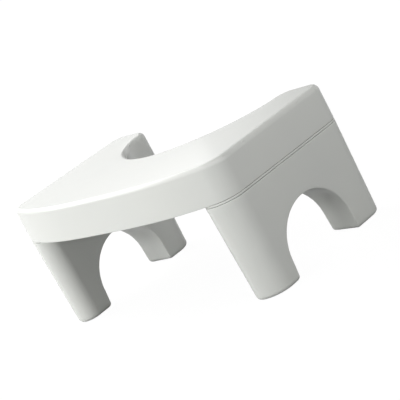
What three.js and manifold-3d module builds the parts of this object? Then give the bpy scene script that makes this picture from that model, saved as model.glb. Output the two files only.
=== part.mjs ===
// A folding toilet footstool: a bowed cover, notched for the toilet's foot, on two arched legs that fold in
// Millimetres. +Z is up, the bowed front edge faces -Y, the notch opens towards +Y, and the floor is Z = 0.
import * as THREE from "three";
import { mergeVertices } from "three/addons/utils/BufferGeometryUtils.js";
import Module from "manifold-3d";

const wasm = await Module();
wasm.setup();

// Overall sizes
const stoolWidth = 420;
const stoolDepth = 244;
const stoolHeight = 178;

// Cover: outline, skirt, edges and wall
const coverDepth = 47.7;
const skirtDraft = 0.5;
const coverWall = 3;
const frontBow = 17.5;
const frontBowReach = 170;
const frontBowExponent = 2.9;
const frontCornerRadius = 32;
const rearCornerRadius = 21;
const frontEdgeRound = 5.4;
const endEdgeRound = 7.4;
const innerEdgeChamfer = 3;
const hornWidth = 75.5;
const notchDepth = 124.4;
const notchTipRadius = 26;
const notchWidthExponent = 2.03;
const notchDepthExponent = 1.43;

// Stiffening ribs on one grid, whose last lines keep their distance from the ends, the front and the rear
const ribEndInset = 30;
const ribDepthInset = 50;
const ribColumns = 5;
const ribRows = 2;
const ribThickness = 2;
const coverRibDepth = 10;
const coverRibColumnShares = [0.4, 1];
const coverRibRowShares = [-1, -0.5, 1];

// Base panel that closes the cover from below
const panelThickness = 2.4;
const panelRecess = 6;
const panelFlange = 2.2;
const panelFit = 0.3;
const foldStopRadius = 4;
const farStopFromFloor = 27.8;
const nearStopAboveArch = 14.5;

// Legs: the top outline follows the cover's end, and the walls lean in towards the floor
const legTopThickness = 51;
const legFrontInnerRadius = 20;
const legRearInnerRadius = 28;
const legCornerGap = 2;
const legInnerDraft = 3.2;
const legOuterDraft = 1.9;
const legFrontDraft = 5;
const legRearDraft = 0.8;
const legWall = 3;
const footRound = 5;
const footFloor = 3.6;
const archRadius = 58;
const archInnerWidening = 2.4;
const archSpring = 23.3;
const archFlare = 1.7;
const archMiddle = 8.7;
const archEdgeChamfer = 1.2;

// The seam between cover and leg: a cap plate between two fine gaps
const seamGap = 0.4;
const capThickness = 2.6;
const snapLugRadius = 2.6;
const snapLugHeight = 3.6;
const snapLugShares = [[1, -0.5], [1, 0.5]];

// Hinges
const frontHingeSetback = 60.7;
const rearHingeSetback = 43.3;
const hingeDrop = 6.5;
const hingeReach = 5.3;
const knuckleRadius = 5;
const knuckleWidth = 16;
const earWidth = 6;
const hingeSideGap = 0.4;
const pinRadius = 2;
const pinClearance = 0.3;
const pinHeadRadius = 3.2;
const pinHeadThickness = 1.5;
const pinChamfer = 0.5;

// Foot pads
const padThickness = 2;
const padProud = 0.5;
const padWidth = 22;
const padLength = 26;
const padCorner = 6;
const padFit = 0.3;
const padChamfer = 0.5;
const frontPadShiftIn = 0.5;
const frontPadShiftBack = 2;
const rearPadShiftForward = 1;

// Screws and the bosses that take them
const screwRadius = 1.5;
const screwFit = 0.35;
const screwLength = 12;
const screwPoint = 1.5;
const screwTipRadius = 0.6;
const panHeadRadius = 3.6;
const panHeadHeight = 2.2;
const panHeadRimHeight = 1.1;
const panHeadCrownRadius = 2.5;
const flatHeadRadius = 3.2;
const flatHeadDepth = 1.7;
const driveRadius = 1.1;
const driveDepth = 1.1;
const bossRadius = 4.3;
const bossHoleDepth = 14;
const capBossDepth = 15;
const capBossInset = 6.2;
const capScrewFromHinge = 8;
const panelScrewShares = [[1, -1], [1, 1], [0.2, -1], [0.4, -0.5]];

// One overrun serves every cut and every join
const overrun = 2;

// Points closer than this are one point
const weldDistance = 1e-4;

// Fineness of round shapes, and a quarter turn in degrees
const cornerSteps = 9;
const innerCornerSteps = 7;
const padCornerSteps = 5;
const roundSides = 16;
const screwSides = 12;
const quarterTurn = 90;

const halfWidth = stoolWidth / 2;
const halfDepth = stoolDepth / 2;
const rimHeight = stoolHeight - coverDepth;
const notchHalfWidth = halfWidth - hornWidth;
const notchBottom = halfDepth - notchDepth;
const ribReachX = halfWidth - ribEndInset;
const ribReachY = halfDepth - ribDepthInset;
const legInnerX = halfWidth - legTopThickness;
const capTop = rimHeight - seamGap;
const capBottom = capTop - capThickness;
const legTop = capBottom - seamGap;
const panelUnder = rimHeight + panelRecess;
const panelTop = panelUnder + panelThickness;
const hingeX = legInnerX - hingeReach;
const hingeZ = rimHeight - hingeDrop;
const hingePlaces = [frontHingeSetback - halfDepth, halfDepth - rearHingeSetback];

// Materials
function moulded(colour, roughness) {
  return new THREE.MeshStandardMaterial({ color: colour, roughness, metalness: 0 });
}
function steel(colour) {
  return new THREE.MeshStandardMaterial({ color: colour, roughness: 0.35, metalness: 1 });
}
const glossWhite = () => moulded(0xf1f2ef, 0.18);
const innerWhite = () => moulded(0xe6e8e4, 0.4);
const softGrey = () => moulded(0xb9bcba, 0.85);
const brightSteel = () => steel(0xb9bcc0);

// Solids: a geometry becomes a manifold to be cut or joined, and comes back as a geometry
function solid(geometry) {
  const plain = geometry.index ? geometry.toNonIndexed() : geometry.clone();
  plain.deleteAttribute("normal");
  plain.deleteAttribute("uv");
  const merged = mergeVertices(plain, weldDistance);
  const vertProperties = merged.attributes.position.array;
  const triVerts = new Uint32Array(merged.index.array);
  return new wasm.Manifold(new wasm.Mesh({ numProp: 3, vertProperties, triVerts }));
}

function geometryOf(body) {
  const mesh = body.getMesh();
  const geometry = new THREE.BufferGeometry();
  geometry.setAttribute("position", new THREE.BufferAttribute(new Float32Array(mesh.vertProperties), 3));
  geometry.setIndex(new THREE.BufferAttribute(new Uint32Array(mesh.triVerts), 1));
  return geometry.toNonIndexed();
}

// A closed body through rings of equal point counts; flat(point) gives the plane in which its ends are filled
function loft(rings, flat = (p) => [p[0], p[1]]) {
  const count = rings[0].length;
  const points = rings.flat();
  const faces = [];
  for (let r = 0; r < rings.length - 1; r++) {
    for (let i = 0; i < count; i++) {
      const next = (i + 1) % count;
      const [a, b] = [r * count + i, r * count + next];
      faces.push([a, b, b + count], [a, b + count, a + count]);
    }
  }
  for (const [ring, turned] of [[0, true], [rings.length - 1, false]]) {
    const outline = rings[ring].map((p) => new THREE.Vector2(...flat(p)));
    for (const [a, b, c] of THREE.ShapeUtils.triangulateShape(outline, [])) {
      const face = [a + ring * count, b + ring * count, c + ring * count];
      faces.push(turned ? face.reverse() : face);
    }
  }
  let volume = 0;
  for (const [a, b, c] of faces) {
    const [p, q, s] = [points[a], points[b], points[c]];
    volume += p[0] * (q[1] * s[2] - q[2] * s[1]) - p[1] * (q[0] * s[2] - q[2] * s[0]);
    volume += p[2] * (q[0] * s[1] - q[1] * s[0]);
  }
  const ordered = volume < 0 ? faces.map((face) => face.toReversed()) : faces;
  const geometry = new THREE.BufferGeometry();
  const corners = ordered.flat().flatMap((i) => points[i]);
  geometry.setAttribute("position", new THREE.Float32BufferAttribute(corners, 3));
  return geometry;
}

function block(low, high) {
  const size = high.map((value, i) => value - low[i]);
  const geometry = new THREE.BoxGeometry(...size);
  return geometry.translate(...high.map((value, i) => (value + low[i]) / 2));
}

function upright(radius, low, high, x, y, sides = roundSides) {
  const geometry = new THREE.CylinderGeometry(radius, radius, high - low, sides);
  return geometry.rotateX(Math.PI / 2).translate(x, y, (low + high) / 2);
}

function screwHole(low, high, x, y) {
  return upright(screwRadius + screwFit, low, high, x, y, screwSides);
}

function barrel(radius, low, high, x, z) {
  const geometry = new THREE.CylinderGeometry(radius, radius, high - low, roundSides);
  return geometry.translate(x, (low + high) / 2, z);
}

// Outlines
function arc(x, y, radius, from, to, steps) {
  const points = [];
  for (let i = 0; i <= steps; i++) {
    const turn = THREE.MathUtils.degToRad(from + ((to - from) * i) / steps);
    points.push([x + radius * Math.cos(turn), y + radius * Math.sin(turn)]);
  }
  return points;
}

// The front edge falls back from the middle by a power of the distance
function frontEdge(x) {
  return frontBow * Math.abs(x / frontBowReach) ** frontBowExponent - halfDepth;
}
function frontSlope(x) {
  const share = Math.abs(x / frontBowReach) ** (frontBowExponent - 1);
  return Math.atan((frontBow * frontBowExponent * share) / frontBowReach);
}

// A round corner between the bowed front edge and a wall along Y, for a centre at centreX
function frontCorner(centreX, radius) {
  const rounds = 20;
  let slope = 0;
  for (let i = 0; i < rounds; i++) {
    slope = frontSlope(centreX + radius * Math.sin(slope));
  }
  const touchX = centreX + radius * Math.sin(slope);
  const y = frontEdge(touchX) + radius * Math.cos(slope);
  return { x: centreX, y, touchX, turn: THREE.MathUtils.radToDeg(slope) };
}

// Right half of the cover's outline at its rim, from the front middle round the end and the horn to the notch
function coverHalfOutline() {
  const points = [];
  const corner = frontCorner(halfWidth - frontCornerRadius, frontCornerRadius);
  const frontSteps = 12;
  for (let i = 0; i < frontSteps; i++) {
    const x = (corner.touchX * i) / frontSteps;
    points.push([x, frontEdge(x)]);
  }
  points.push(...arc(corner.x, corner.y, frontCornerRadius, corner.turn - quarterTurn, 0, cornerSteps));
  const rear = [halfWidth - rearCornerRadius, halfDepth - rearCornerRadius];
  points.push(...arc(...rear, rearCornerRadius, 0, quarterTurn, cornerSteps - 1));
  const tip = [notchHalfWidth + notchTipRadius, halfDepth - notchTipRadius];
  points.push(...arc(...tip, notchTipRadius, quarterTurn, 2 * quarterTurn, cornerSteps - 3));
  const notchSteps = 18;
  const straightDepth = notchDepth - notchTipRadius;
  for (let i = notchSteps - 1; i >= 0; i--) {
    const turn = ((Math.PI / 2) * i) / notchSteps;
    const x = notchHalfWidth * Math.sin(turn) ** (2 / notchWidthExponent);
    points.push([x, notchBottom + straightDepth * (1 - Math.cos(turn) ** (2 / notchDepthExponent))]);
  }
  return points;
}

function coverOutline() {
  const half = coverHalfOutline();
  const mirrored = half.slice(1, -1).toReversed().map(([x, y]) => [-x, y]);
  return [...half, ...mirrored];
}

// Outward normals of a counter-clockwise outline, and the outline moved along them
function outwards(outline) {
  const count = outline.length;
  return outline.map((point, i) => {
    const before = outline[(i + count - 1) % count];
    const after = outline[(i + 1) % count];
    const along = new THREE.Vector2(after[0] - before[0], after[1] - before[1]).normalize();
    return [along.y, -along.x];
  });
}
function moved(outline, distance) {
  const normals = outwards(outline);
  return outline.map(([x, y], i) => {
    const step = typeof distance === "function" ? distance(normals[i]) : distance;
    return [x + normals[i][0] * step, y + normals[i][1] * step];
  });
}
function raised(outline, z) {
  return outline.map(([x, y], i) => [x, y, typeof z === "function" ? z(i) : z]);
}

// Cover
function edgeRound(normal) {
  return endEdgeRound + (frontEdgeRound - endEdgeRound) * Math.max(0, -normal[1]) ** 2;
}

function coverOuter() {
  const rim = coverOutline();
  const normals = outwards(rim);
  const rings = [raised(rim, rimHeight)];
  const edgeSteps = 6;
  for (let i = 0; i <= edgeSteps; i++) {
    const turn = ((Math.PI / 2) * i) / edgeSteps;
    const inset = (normal) => -skirtDraft - edgeRound(normal) * (1 - Math.cos(turn));
    const height = (p) => stoolHeight - edgeRound(normals[p]) * (1 - Math.sin(turn));
    rings.push(raised(moved(rim, inset), height));
  }
  return loft(rings);
}

function coverHollow() {
  const rim = coverOutline();
  const ceiling = stoolHeight - coverWall;
  const wall = moved(rim, -coverWall);
  const leaning = moved(rim, -coverWall - skirtDraft);
  const top = moved(rim, -coverWall - skirtDraft - innerEdgeChamfer);
  const rings = [raised(wall, rimHeight - overrun), raised(wall, rimHeight)];
  rings.push(raised(leaning, ceiling - innerEdgeChamfer), raised(top, ceiling));
  return loft(rings);
}

// Both mirror places of each pair of shares of the rib grid's reach
function gridPlaces(shares) {
  const place = (side, column, row) => [side * column * ribReachX, row * ribReachY];
  return shares.flatMap(([column, row]) => [place(1, column, row), place(-1, column, row)]);
}

function coverRibs() {
  const ceiling = stoolHeight - coverWall;
  const [low, high] = [ceiling - coverRibDepth, ceiling + overrun / 2];
  const half = ribThickness / 2;
  const ribs = [];
  for (const share of coverRibColumnShares) {
    for (const x of [share * ribReachX, -share * ribReachX]) {
      ribs.push(solid(block([x - half, -halfDepth, low], [x + half, halfDepth, high])));
    }
  }
  for (const share of coverRibRowShares) {
    const y = share * ribReachY;
    ribs.push(solid(block([-halfWidth, y - half, low], [halfWidth, y + half, high])));
  }
  const inside = loft([
    raised(moved(coverOutline(), -coverWall / 2 - skirtDraft), low - overrun),
    raised(moved(coverOutline(), -coverWall / 2 - skirtDraft), high),
  ]);
  return wasm.Manifold.union(ribs).intersect(solid(inside));
}

function topCover() {
  const ceiling = stoolHeight - coverWall;
  const bossEnd = panelTop + panelFit;
  let shell = solid(coverOuter()).subtract(solid(coverHollow())).add(coverRibs());
  for (const [x, y] of gridPlaces(panelScrewShares)) {
    shell = shell.add(solid(upright(bossRadius, bossEnd, ceiling + overrun / 2, x, y)));
    const hole = screwHole(bossEnd - overrun, bossEnd + bossHoleDepth, x, y);
    shell = shell.subtract(solid(hole));
  }
  return geometryOf(shell);
}

// Base panel; its ribs run between the cover's rib lines, within the flange's edge, and end inside the plate
function panelOutline(inset) {
  return moved(coverOutline(), -coverWall - panelFit - inset);
}

function panelRibs() {
  const half = ribThickness / 2;
  const [low, high] = [rimHeight + seamGap, panelTop - panelThickness / 2];
  const [columnPitch, rowPitch] = [ribReachX / ribColumns, ribReachY / ribRows];
  const ribs = [];
  for (let i = 0; i <= ribColumns; i++) {
    for (const side of [1, -1]) {
      const x = side * (i * columnPitch + columnPitch / 2);
      ribs.push(solid(block([x - half, -halfDepth, low], [x + half, halfDepth, high])));
    }
  }
  for (let i = 0; i <= ribRows; i++) {
    for (const side of [1, -1]) {
      const y = side * (i * rowPitch + rowPitch / 2);
      ribs.push(solid(block([-halfWidth, y - half, low], [halfWidth, y + half, high])));
    }
  }
  const inside = panelOutline(panelFlange / 2);
  const trim = loft([raised(inside, rimHeight - overrun), raised(inside, panelTop + overrun)]);
  return wasm.Manifold.union(ribs).intersect(solid(trim));
}

// One ear of a hinge: a lug that hangs from the panel and is round about the pin
function hingeEar(x, y) {
  const [low, high] = [y - earWidth / 2, y + earWidth / 2];
  const root = panelUnder + panelThickness / 2;
  const stem = block([x - knuckleRadius, low, hingeZ], [x + knuckleRadius, high, root]);
  return solid(stem).add(solid(barrel(knuckleRadius, low, high, x, hingeZ)));
}

function basePanel() {
  const outer = loft([raised(panelOutline(0), rimHeight), raised(panelOutline(0), panelTop)]);
  const recess = panelOutline(panelFlange);
  const under = loft([raised(recess, rimHeight - overrun), raised(recess, panelUnder)]);
  let panel = solid(outer).subtract(solid(under)).add(panelRibs());
  const earOffset = (knuckleWidth + earWidth) / 2 + hingeSideGap;
  for (const side of [1, -1]) {
    for (const y of hingePlaces) {
      panel = panel.add(hingeEar(side * hingeX, y - earOffset));
      panel = panel.add(hingeEar(side * hingeX, y + earOffset));
      const [low, high] = [y - earOffset - earWidth, y + earOffset + earWidth];
      const bore = barrel(pinRadius + pinClearance, low, high, side * hingeX, hingeZ);
      panel = panel.subtract(solid(bore));
    }
    for (const [reach, y] of foldStops()) {
      const top = panelUnder + panelThickness / 2;
      const stop = upright(foldStopRadius, foldStopEnd(reach), top, side * (hingeX - reach), y);
      panel = panel.add(solid(stop));
    }
  }
  for (const [x, y] of gridPlaces(panelScrewShares)) {
    const hole = screwHole(panelUnder - overrun, panelTop + overrun, x, y);
    panel = panel.subtract(solid(hole));
  }
  return geometryOf(panel);
}

// The stops meet the folded leg at its front foot and above its arch: reach from the hinge, and place along Y
function foldStops() {
  const near = archSpring + archRadius + nearStopAboveArch;
  return [[hingeZ - farStopFromFloor, hingePlaces[0]], [hingeZ - near, archMiddle]];
}

// The folded leg's inner face lies at its hinge reach below the pin, and falls away by its draft
function foldStopEnd(reach) {
  const lean = (legInnerDraft * (reach - foldStopRadius)) / legTop;
  return hingeZ - hingeReach - lean + seamGap;
}

// Legs: the outline at the top follows the cover's rim round its end, and its inner corners keep a gap to the
// outer ones
function legOutline() {
  const front = frontCorner(halfWidth - frontCornerRadius, frontCornerRadius);
  const slope = THREE.MathUtils.degToRad(front.turn);
  const frontRoom = (front.touchX - legInnerX - legCornerGap) / (1 + Math.sin(slope));
  const frontRadius = Math.min(legFrontInnerRadius, frontRoom);
  const inner = frontCorner(legInnerX + frontRadius, frontRadius);
  const innerTurn = [2 * quarterTurn, 3 * quarterTurn + inner.turn];
  const points = arc(inner.x, inner.y, frontRadius, ...innerTurn, innerCornerSteps);
  points.push(...arc(front.x, front.y, frontCornerRadius, front.turn - quarterTurn, 0, cornerSteps));
  const rearOuter = [halfWidth - rearCornerRadius, halfDepth - rearCornerRadius];
  points.push(...arc(...rearOuter, rearCornerRadius, 0, quarterTurn, cornerSteps));
  const rearRoom = legTopThickness - rearCornerRadius - legCornerGap;
  const rearRadius = Math.min(legRearInnerRadius, rearRoom);
  const rearInner = [legInnerX + rearRadius, halfDepth - rearRadius];
  points.push(...arc(...rearInner, rearRadius, quarterTurn, 2 * quarterTurn, innerCornerSteps));
  return points;
}

// The leg's outline at a height: each side leans in by its draft, in full at the floor
function legOutlineAt(z, inset = 0) {
  const outline = legOutline();
  const frontY = Math.min(...outline.map((p) => p[1]));
  const share = 1 - z / legTop;
  const leaning = outline.map(([x, y]) => {
    const across = (x - legInnerX) / legTopThickness;
    const along = (y - frontY) / (halfDepth - frontY);
    const dx = legInnerDraft * (1 - across) - legOuterDraft * across;
    const dy = legFrontDraft * (1 - along) - legRearDraft * along;
    return [x + dx * share, y + dy * share];
  });
  return moved(leaning, -inset);
}

// The arch as a ring in a plane along Y and Z: sides that flare a little to the floor, and a round top
function archRing(x, growth) {
  const radius = archRadius + growth;
  const archSteps = 24;
  const top = arc(archMiddle, archSpring, radius, 0, 2 * quarterTurn, archSteps);
  const floor = -overrun;
  const foot = radius + (archFlare * (archSpring - floor)) / archSpring;
  const outline = [[archMiddle + foot, floor], ...top, [archMiddle - foot, floor]];
  return outline.map(([y, z]) => [x, y, z]);
}

// The arch through the leg is wider on the leg's inner side, so that its lining shows from outside
function archTunnel(wall) {
  const chamfer = wall ? 0 : archEdgeChamfer;
  const innerX = legInnerX + legInnerDraft / 2;
  const outerX = halfWidth - legOuterDraft / 2;
  const mouth = 2 * chamfer + overrun / 2;
  const rings = [
    archRing(innerX - overrun, wall + archInnerWidening + mouth),
    archRing(innerX + chamfer, wall + archInnerWidening),
    archRing(outerX - chamfer, wall),
    archRing(outerX + overrun, wall + mouth),
  ];
  return loft(rings, (p) => [p[1], p[2]]);
}

function legOuter() {
  const rings = [];
  const steps = 4;
  for (let i = 0; i <= steps; i++) {
    const turn = ((Math.PI / 2) * i) / steps;
    const z = padProud + footRound * (1 - Math.cos(turn));
    rings.push(raised(legOutlineAt(z, footRound * (1 - Math.sin(turn))), z));
  }
  rings.push(raised(legOutlineAt(legTop), legTop));
  return loft(rings);
}

function legHollow() {
  const floor = padProud + footFloor;
  const rings = [
    raised(legOutlineAt(floor, legWall + footRound / 2), floor),
    raised(legOutlineAt(floor + footRound, legWall), floor + footRound),
    raised(legOutlineAt(legTop, legWall), legTop),
    raised(legOutlineAt(legTop, legWall), legTop + overrun),
  ];
  return solid(loft(rings)).subtract(solid(archTunnel(legWall)));
}

function capScrewPlaces() {
  const xs = [legInnerX + capBossInset, halfWidth - capBossInset];
  const ys = [hingePlaces[0] + capScrewFromHinge, hingePlaces[1] - capScrewFromHinge];
  return xs.flatMap((x) => ys.map((y) => [x, y]));
}

// The knuckle stands on the leg's inner face, round about the pin
function knuckle(y) {
  const [low, high] = [y - knuckleWidth / 2, y + knuckleWidth / 2];
  const web = block([hingeX, low, hingeZ - knuckleRadius], [legInnerX + legWall / 2, high, legTop]);
  const round = solid(barrel(knuckleRadius, low, high, hingeX, hingeZ));
  const bore = barrel(pinRadius + pinClearance, low - overrun, high + overrun, hingeX, hingeZ);
  return round.add(solid(web)).subtract(solid(bore));
}

// The pads sit a little off the feet's middles, clear of their round corners
function footPadPlaces() {
  const foot = archRadius + archFlare;
  const frontY = Math.min(...legOutlineAt(0).map((p) => p[1]));
  const x = (legInnerX + legInnerDraft + halfWidth - legOuterDraft) / 2;
  const front = (frontY + archMiddle - foot) / 2;
  const rear = (halfDepth - legRearDraft + archMiddle + foot) / 2;
  return { front: [x - frontPadShiftIn, front + frontPadShiftBack], rear: [x, rear - rearPadShiftForward] };
}

function padShape(grow) {
  const [w, l] = [padWidth / 2 + grow, padLength / 2 + grow];
  const r = padCorner + grow;
  return [
    ...arc(w - r, l - r, r, 0, quarterTurn, padCornerSteps),
    ...arc(r - w, l - r, r, quarterTurn, 2 * quarterTurn, padCornerSteps),
    ...arc(r - w, r - l, r, 2 * quarterTurn, 3 * quarterTurn, padCornerSteps),
    ...arc(w - r, r - l, r, 3 * quarterTurn, 4 * quarterTurn, padCornerSteps),
  ];
}

function footPad([x, y]) {
  const rings = [
    raised(padShape(-padChamfer), 0),
    raised(padShape(0), padChamfer),
    raised(padShape(0), padThickness),
  ];
  return loft(rings).translate(x, y, 0);
}

// The right leg; the left one is its mirror image
function legShell() {
  let leg = solid(legOuter()).subtract(solid(archTunnel(0))).subtract(legHollow());
  for (const [x, y] of capScrewPlaces()) {
    const boss = solid(upright(bossRadius, legTop - capBossDepth, legTop, x, y));
    const inside = raised(legOutlineAt(legTop, legWall / 2), legTop - capBossDepth - overrun);
    const trim = solid(loft([inside, inside.map(([px, py]) => [px, py, legTop])]));
    leg = leg.add(boss.intersect(trim));
    const hole = screwHole(legTop - bossHoleDepth, legTop + overrun, x, y);
    leg = leg.subtract(solid(hole));
  }
  for (const y of hingePlaces) {
    leg = leg.add(knuckle(y));
  }
  for (const [x, y] of Object.values(footPadPlaces())) {
    const pocket = padShape(padFit);
    const cut = loft([raised(pocket, -overrun), raised(pocket, padThickness + padFit)]).translate(x, y, 0);
    leg = leg.subtract(solid(cut));
  }
  return leg;
}

// Snap lugs stand on the cap between the panel's ribs
function legCap() {
  const outline = legOutline();
  let cap = solid(loft([raised(outline, capBottom), raised(outline, capTop)]));
  const [low, high] = [capTop - capThickness / 2, capTop + snapLugHeight];
  for (const [column, row] of snapLugShares) {
    const lug = upright(snapLugRadius, low, high, column * ribReachX, row * ribReachY, screwSides);
    cap = cap.add(solid(lug));
  }
  for (const [x, y] of capScrewPlaces()) {
    cap = cap.subtract(solid(flatHeadScrew(screwFit, overrun).translate(x, y, capTop)));
  }
  return cap;
}

// Screws: a turned profile from the point up, with a round drive recess; the origin is at the head's face
function flatHeadScrew(grow = 0, above = 0) {
  const [shank, head] = [screwRadius + grow, flatHeadRadius + grow];
  const profile = [[0, -screwLength - grow], [screwTipRadius, -screwLength - grow]];
  profile.push([shank, screwPoint - screwLength], [shank, -flatHeadDepth - grow], [head, 0]);
  if (above) {
    profile.push([head, above], [0, above]);
  } else {
    profile.push([driveRadius, 0], [driveRadius, -driveDepth], [0, -driveDepth]);
  }
  return turned(profile);
}

function panHeadScrew() {
  const recess = panHeadHeight - driveDepth;
  const profile = [[0, -screwLength], [screwTipRadius, -screwLength]];
  profile.push([screwRadius, screwPoint - screwLength], [screwRadius, 0]);
  profile.push([panHeadRadius, 0], [panHeadRadius, panHeadRimHeight]);
  profile.push([panHeadCrownRadius, panHeadHeight], [driveRadius, panHeadHeight]);
  profile.push([driveRadius, recess], [0, recess]);
  return turned(profile);
}

function turned(profile) {
  const points = profile.map(([r, z]) => new THREE.Vector2(r, z));
  return new THREE.LatheGeometry(points, screwSides).rotateX(Math.PI / 2);
}

// The pin lies along Y with its head at the low end
function hingePin(x, y) {
  const half = knuckleWidth / 2 + hingeSideGap + earWidth;
  const seat = -half - hingeSideGap;
  const face = seat - pinHeadThickness;
  const profile = [[0, face], [pinHeadRadius - pinChamfer, face], [pinHeadRadius, face + pinChamfer]];
  profile.push([pinHeadRadius, seat], [pinRadius, seat], [pinRadius, half]);
  profile.push([pinRadius - pinChamfer, half + pinChamfer], [0, half + pinChamfer]);
  const points = profile.map(([r, along]) => new THREE.Vector2(r, along));
  return new THREE.LatheGeometry(points, roundSides).translate(x, y, hingeZ);
}

// Assembly
const stool = new THREE.Group();

function place(parent, name, geometry, material) {
  const mesh = new THREE.Mesh(geometry, material);
  mesh.name = name;
  parent.add(mesh);
}

place(stool, "top_cover", topCover(), glossWhite());
place(stool, "base_panel", basePanel(), innerWhite());

gridPlaces(panelScrewShares).forEach(([x, y], i) => {
  const screw = panHeadScrew().rotateX(Math.PI).translate(x, y, panelUnder - screwFit);
  place(stool, `panel_screw_${i + 1}`, screw, brightSteel());
});

for (const [name, side] of [["right", 1], ["left", -1]]) {
  const pose = new THREE.Matrix4().makeScale(side, 1, 1);
  const handed = (body) => (side > 0 ? body : body.transform(pose.elements));
  place(stool, `${name}_leg_shell`, geometryOf(handed(legShell())), glossWhite());
  place(stool, `${name}_leg_cap`, geometryOf(handed(legCap())), glossWhite());
  capScrewPlaces().forEach(([x, y], i) => {
    const screw = flatHeadScrew().translate(side * x, y, capTop);
    place(stool, `${name}_cap_screw_${i + 1}`, screw, brightSteel());
  });
  for (const [end, [x, y]] of Object.entries(footPadPlaces())) {
    place(stool, `${name}_${end}_foot_pad`, footPad([side * x, y]), softGrey());
  }
  hingePlaces.forEach((y, i) => {
    const end = i ? "rear" : "front";
    place(stool, `${name}_${end}_hinge_pin`, hingePin(side * hingeX, y), brightSteel());
  });
}

export default stool;
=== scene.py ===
import math

import bmesh
import bpy
import numpy as np
from mathutils import Matrix, Vector
from mathutils.geometry import delaunay_2d_cdt


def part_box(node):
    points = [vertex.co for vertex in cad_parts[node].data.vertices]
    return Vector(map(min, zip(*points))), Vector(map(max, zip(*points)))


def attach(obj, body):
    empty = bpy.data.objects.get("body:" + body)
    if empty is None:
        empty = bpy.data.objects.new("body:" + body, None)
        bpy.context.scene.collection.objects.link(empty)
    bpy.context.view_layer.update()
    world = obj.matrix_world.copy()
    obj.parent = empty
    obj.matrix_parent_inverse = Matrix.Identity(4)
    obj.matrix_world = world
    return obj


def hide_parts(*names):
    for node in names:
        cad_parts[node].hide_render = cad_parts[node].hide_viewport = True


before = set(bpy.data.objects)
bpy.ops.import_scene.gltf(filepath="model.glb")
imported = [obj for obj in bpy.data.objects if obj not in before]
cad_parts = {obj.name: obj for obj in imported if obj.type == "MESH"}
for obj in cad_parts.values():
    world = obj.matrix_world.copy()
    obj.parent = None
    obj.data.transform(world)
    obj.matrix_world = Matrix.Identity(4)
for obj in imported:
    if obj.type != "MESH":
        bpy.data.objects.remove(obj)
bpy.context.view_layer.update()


# Top cover
# One glossy white injection moulding: a flat top with a bowed front, a deep notch for the toilet's foot and
# a skirt all round. Its edges are rolled over, tightest along the front and widest at the horns beside the
# notch. Below, a grid of ribs stiffens it and eight bosses take the screws of the base panel.

MM = 0.001
cover_low, cover_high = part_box("top_cover")
HALF_WIDTH, HALF_DEPTH = cover_high.x, cover_high.y
TOP, RIM = cover_high.z, cover_low.z
FRONT_BOW = 17.5 * MM
FRONT_BOW_REACH = 170 * MM
FRONT_BOW_EXPONENT = 2.9
FRONT_CORNER_RADIUS = 32 * MM
REAR_CORNER_RADIUS = 21 * MM
HORN_WIDTH = 75.5 * MM
NOTCH_DEPTH = 124.4 * MM
NOTCH_TIP_RADIUS = 26 * MM
NOTCH_WIDTH_EXPONENT = 2.03
NOTCH_DEPTH_EXPONENT = 1.43
COVER_WALL = 3 * MM
CEILING = TOP - COVER_WALL
SKIRT_DRAFT = 0.5 * MM
SKIRT_SHARES = (0.02, 0.35, 0.7, 0.98)
FRONT_EDGE_ROUND = 5.4 * MM
END_EDGE_ROUND = 7.4 * MM
NOTCH_EDGE_ROUND = 6.5 * MM
HORN_EDGE_REACH = 8 * MM
HORN_EDGE_DROP = 7.8 * MM
HORN_EDGE_EXPONENT = 1.5
HORN_CROWN = 0.6 * MM
HORN_START = 8 * MM
RIDGE_INSET, RIDGE_Y, RIDGE_BEND = 16 * MM, 19 * MM, 30 * MM
CROWN_RISE_SHARE, CROWN_FALL_SHARE = 0.4, 0.9
RIM_ROUND = 0.8 * MM
OUTLINE_STEP = 1.6 * MM
OUTLINE_STEPS, NOTCH_STEPS = 200, 400
INSET_WINDOW, DROP_WINDOW = 5, 6
EDGE_STEPS, CROWN_ROWS = 16, 12
WELD_REACH, CREASE_ANGLE = 0.002 * MM, math.radians(35)
GUARD = 0.4 * MM
QUARTER = math.pi / 2
RIB_END_INSET, RIB_DEPTH_INSET = 30 * MM, 50 * MM
RIB_THICKNESS, RIB_ROUND, RIB_EDGE_SHARE = 2 * MM, 0.4 * MM, 0.8
COVER_RIB_DEPTH = 10 * MM
COVER_COLUMN_SHARES, COVER_ROW_SHARES = (0.4, 1), (-1, -0.5, 1)
ROOT_SINK = 1 * MM
PANEL_SCREWS = 8
BOSS_RADIUS, BOSS_HOLE_RADIUS, BOSS_HOLE_DEPTH = 4.3 * MM, 1.85 * MM, 14 * MM
BOSS_GAP = 0.3 * MM
PLASTIC_IOR = 1.49


def arc(centre, radius, start, end, steps):
    """Points on a circle about centre, from angle start to end in radians, both ends included."""
    turn = np.linspace(start, end, steps + 1)
    return np.stack([centre[0] + radius * np.cos(turn), centre[1] + radius * np.sin(turn)], -1)


def front_edge(x):
    """The front edge falls back from the middle by a power of the distance from it."""
    return FRONT_BOW * np.abs(x / FRONT_BOW_REACH) ** FRONT_BOW_EXPONENT - HALF_DEPTH


def front_corner(centre_x, radius):
    """Centre, touching point and slope of a round corner between the bowed front edge and a wall along Y."""
    slope = 0.0
    for _ in range(20):
        share = abs((centre_x + radius * math.sin(slope)) / FRONT_BOW_REACH) ** (FRONT_BOW_EXPONENT - 1)
        slope = math.atan(FRONT_BOW * FRONT_BOW_EXPONENT * share / FRONT_BOW_REACH)
    x = centre_x + radius * math.sin(slope)
    return (centre_x, front_edge(x) + radius * math.cos(slope)), x, slope


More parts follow.
